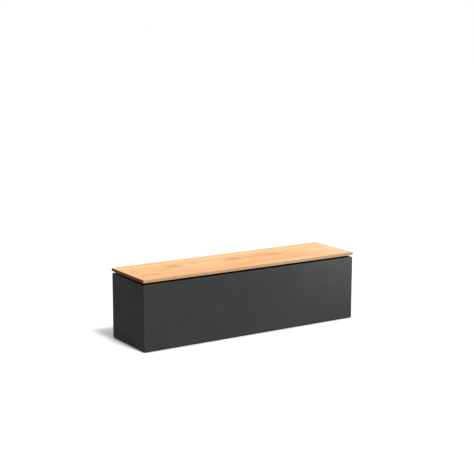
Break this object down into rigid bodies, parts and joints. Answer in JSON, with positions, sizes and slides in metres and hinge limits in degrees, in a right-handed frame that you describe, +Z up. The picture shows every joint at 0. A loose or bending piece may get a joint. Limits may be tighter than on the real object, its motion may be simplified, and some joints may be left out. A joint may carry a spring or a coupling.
{
  "type": "planter bench",
  "caption": "Long folded-metal trough bench with a lift-off timber seat board over a shadow gap, standing on screw-out levelling feet.",
  "frame": {"origin": "on the floor, under the middle of the bench", "axes": "+X along the length to the sitter's left, -Y the front long side, +Z up"},
  "size_m": [1.606, 0.421, 0.455],
  "materials": {
    "powder_coat": "fine matt anthracite powder coat",
    "frame_coat": null,
    "inner_coat": "the same powder coat inside, dustier",
    "timber": "oiled light hardwood",
    "zinc_steel": "bright zinc plate",
    "rubber": "matt",
    "black_plastic": "moulded nylon"
  },
  "bodies": {
    "trough": {"bearer_left": "inner_coat", "bearer_middle": "inner_coat", "bearer_right": "inner_coat", "corner_welds": "inner_coat", "floor_tray": "inner_coat", "foot_nuts": "zinc_steel", "front_wall": "powder_coat", "left_end_wall": "powder_coat", "rear_wall": "powder_coat", "rib_front_left": "inner_coat", "rib_front_right": "inner_coat", "rib_rear_left": "inner_coat", "rib_rear_right": "inner_coat", "right_end_wall": "powder_coat", "tie_bolts": "zinc_steel", "tie_left": "inner_coat", "tie_nuts": "zinc_steel", "tie_right": "inner_coat", "tray_plugs": "black_plastic"},
    "seat": {"lug_front_left": "frame_coat", "lug_front_right": "frame_coat", "lug_left": "frame_coat", "lug_rear_left": "frame_coat", "lug_rear_right": "frame_coat", "lug_right": "frame_coat", "seat_board": "timber", "seat_buffers": "rubber", "seat_crossbar_1": "frame_coat", "seat_crossbar_2": "frame_coat", "seat_crossbar_3": "frame_coat", "seat_crossbar_4": "frame_coat", "seat_crossbar_5": "frame_coat", "seat_rail_front": "frame_coat", "seat_rail_rear": "frame_coat", "seat_screws": "zinc_steel"},
    "pad_front_left": {"foot_pad_front_left": "black_plastic"},
    "stem_front_left": {"foot_stem_front_left": "zinc_steel"},
    "pad_front_right": {"foot_pad_front_right": "black_plastic"},
    "stem_front_right": {"foot_stem_front_right": "zinc_steel"},
    "pad_rear_left": {"foot_pad_rear_left": "black_plastic"},
    "stem_rear_left": {"foot_stem_rear_left": "zinc_steel"},
    "pad_rear_right": {"foot_pad_rear_right": "black_plastic"},
    "stem_rear_right": {"foot_stem_rear_right": "zinc_steel"}
  },
  "joints": [
    {"name": "seat_lift", "type": "slide", "parent": "trough", "child": "seat", "axis": [0, 0, 1], "range_m": [0, 0.4]},
    {"name": "stem_turn_front_left", "type": "hinge", "parent": "pad_front_left", "child": "stem_front_left", "pos_m": [-0.7, -0.1455, 0.02], "axis": [0, 0, -1], "range_deg": [0, 3960]},
    {"name": "pad_travel_front_left", "type": "slide", "parent": "trough", "child": "pad_front_left", "axis": [0, 0, -1], "range_m": [0, 0.01925]},
    {"name": "stem_turn_front_right", "type": "hinge", "parent": "pad_front_right", "child": "stem_front_right", "pos_m": [0.7, -0.1455, 0.02], "axis": [0, 0, -1], "range_deg": [0, 3960]},
    {"name": "pad_travel_front_right", "type": "slide", "parent": "trough", "child": "pad_front_right", "axis": [0, 0, -1], "range_m": [0, 0.01925]},
    {"name": "stem_turn_rear_left", "type": "hinge", "parent": "pad_rear_left", "child": "stem_rear_left", "pos_m": [-0.7, 0.1455, 0.02], "axis": [0, 0, -1], "range_deg": [0, 3960]},
    {"name": "pad_travel_rear_left", "type": "slide", "parent": "trough", "child": "pad_rear_left", "axis": [0, 0, -1], "range_m": [0, 0.01925]},
    {"name": "stem_turn_rear_right", "type": "hinge", "parent": "pad_rear_right", "child": "stem_rear_right", "pos_m": [0.7, 0.1455, 0.02], "axis": [0, 0, -1], "range_deg": [0, 3960]},
    {"name": "pad_travel_rear_right", "type": "slide", "parent": "trough", "child": "pad_rear_right", "axis": [0, 0, -1], "range_m": [0, 0.01925]}
  ],
  "couplings": [
    {"joint": "stem_turn_front_left", "follows": "pad_travel_front_left", "rad_per_m": 3590.4},
    {"joint": "stem_turn_front_right", "follows": "pad_travel_front_right", "rad_per_m": 3590.4},
    {"joint": "stem_turn_rear_left", "follows": "pad_travel_rear_left", "rad_per_m": 3590.4},
    {"joint": "stem_turn_rear_right", "follows": "pad_travel_rear_right", "rad_per_m": 3590.4}
  ]
}
